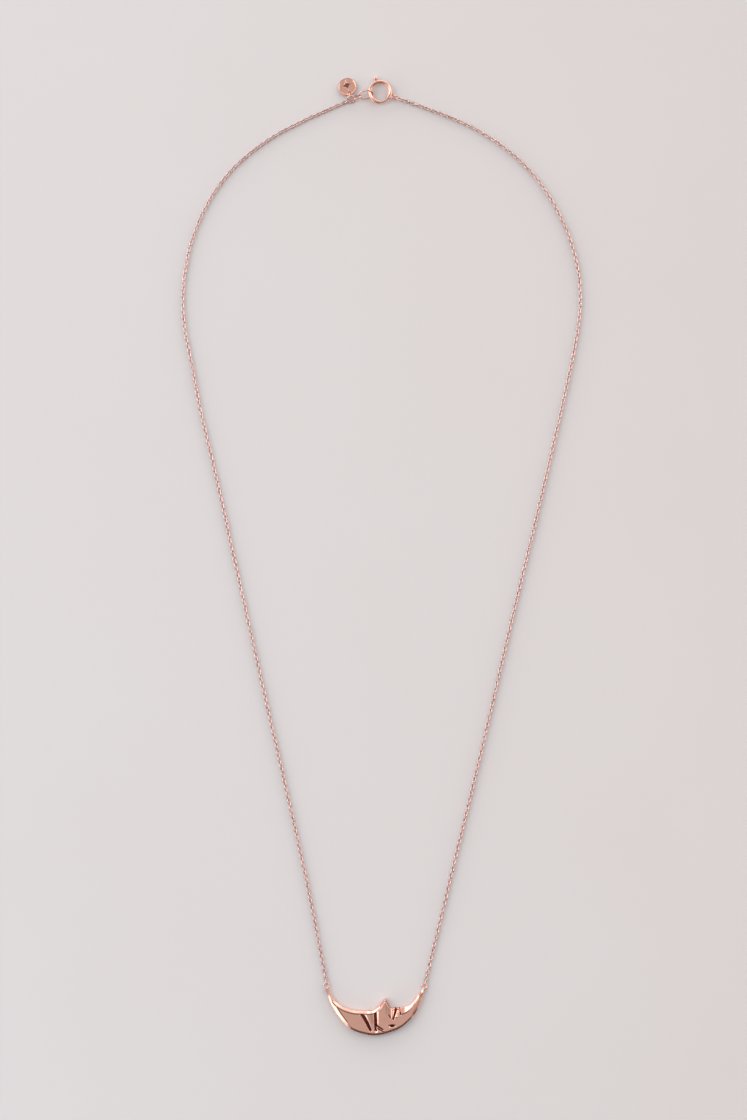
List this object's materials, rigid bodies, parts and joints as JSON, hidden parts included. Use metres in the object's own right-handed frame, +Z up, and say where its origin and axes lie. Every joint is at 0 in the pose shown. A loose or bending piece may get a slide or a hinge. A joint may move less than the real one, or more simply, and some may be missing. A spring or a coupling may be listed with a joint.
{
  "type": "pendant necklace",
  "caption": "Fine chain necklace with a crescent moon pendant fixed at both horns, a spring ring clasp and a small round tag.",
  "frame": {"origin": "centre of the pendant's flat back, on the surface that the necklace lies on", "axes": "+Y from the pendant towards the clasp, +X to the right, +Z up out of the surface; the necklace lies flat"},
  "size_m": [0.0862, 0.2058, 0.0019],
  "materials": {
    "pendant_gold": "polished rose gold with fine wear",
    "chain_gold": "bright drawn rose gold wire",
    "rose_gold_wire": "polished rose gold",
    "clasp_gold": "polished rose gold",
    "tag_gold": "polished rose gold with a punched mark",
    "spring_steel": "spring wire"
  },
  "bodies": {
    "root": {"chain_left": "chain_gold", "chain_right": "chain_gold", "left_upper_link": "chain_gold", "left_lower_link": "chain_gold", "right_lower_link": "chain_gold"},
    "pendant": {"moon_pendant": "pendant_gold", "left_horn_ring": "rose_gold_wire", "right_horn_ring": "rose_gold_wire"},
    "clasp": {"clasp_tube": "clasp_gold", "clasp_tail": "clasp_gold", "clasp_spring": "spring_steel"},
    "bolt": {"clasp_bolt": "clasp_gold", "bolt_knob": "clasp_gold"},
    "end_ring": {"end_ring": "rose_gold_wire"},
    "middle_ring": {"middle_ring": "rose_gold_wire"},
    "chain_ring": {"chain_ring": "rose_gold_wire"},
    "tail_ring": {"tail_ring": "rose_gold_wire"},
    "right_link": {"right_upper_link": "chain_gold"},
    "tag_ring": {"tag_ring": "rose_gold_wire"},
    "tag": {"tag_disc": "tag_gold"}
  },
  "joints": [
    {"name": "pendant_swing", "type": "hinge", "parent": "root", "child": "pendant", "pos_m": [0.0001, 0.0084, 0.00047], "axis": [1, -0.0075, 0], "range_deg": [-120, 0]},
    {"name": "clasp_roll", "type": "hinge", "parent": "root", "child": "clasp", "pos_m": [-0.00106, 0.19936, 0.00084], "axis": [0.9928, -0.1196, 0], "range_deg": [-60, 25]},
    {"name": "end_ring_roll", "type": "hinge", "parent": "root", "child": "end_ring", "pos_m": [-0.00331, 0.19905, 0.00082], "axis": [0.9879, 0.1547, 0.0069], "range_deg": [-49, 21]},
    {"name": "middle_ring_roll", "type": "hinge", "parent": "root", "child": "middle_ring", "pos_m": [-0.00469, 0.19842, 0.00079], "axis": [0.9273, 0.3739, 0.0179], "range_deg": [-31, 13.5]},
    {"name": "chain_ring_roll", "type": "hinge", "parent": "root", "child": "chain_ring", "pos_m": [-0.00593, 0.19795, 0.00062], "axis": [0.9281, 0.3567, 0.1067], "range_deg": [-16, 7.2]},
    {"name": "tail_ring_roll", "type": "hinge", "parent": "root", "child": "tail_ring", "pos_m": [0.00398, 0.19882, 0.00084], "axis": [0.9305, -0.3204, -0.1775], "range_deg": [-43, 18.5]},
    {"name": "right_link_roll", "type": "hinge", "parent": "root", "child": "right_link", "pos_m": [0.00514, 0.19842, 0.00062], "axis": [0.9275, -0.2773, -0.2508], "range_deg": [-22, 9.8]},
    {"name": "bolt_draw", "type": "hinge", "parent": "clasp", "child": "bolt", "pos_m": [0.00108, 0.19982, 0.00084], "axis": [0, 0, -1], "range_deg": [0, 46], "stiffness_Nm_per_rad": 0.00002, "springref_deg": -17.19, "deforming": ["clasp_spring"]},
    {"name": "tag_ring_swing", "type": "hinge", "parent": "chain_ring", "child": "tag_ring", "pos_m": [-0.00543, 0.19879, 0.00115], "axis": [0.9281, 0.3567, 0.1067], "range_deg": [-15, 15]},
    {"name": "tag_swing", "type": "hinge", "parent": "tag_ring", "child": "tag", "pos_m": [-0.00544, 0.19958, 0.00064], "axis": [-0.0476, 0.1308, 0.9903], "range_deg": [-20, 20]}
  ],
  "couplings": [
    {"joint": "end_ring_roll", "follows": "clasp_roll", "ratio": 0.8},
    {"joint": "middle_ring_roll", "follows": "clasp_roll", "ratio": 0.5},
    {"joint": "chain_ring_roll", "follows": "clasp_roll", "ratio": 0.25},
    {"joint": "tail_ring_roll", "follows": "clasp_roll", "ratio": 0.7},
    {"joint": "right_link_roll", "follows": "clasp_roll", "ratio": 0.35}
  ]
}
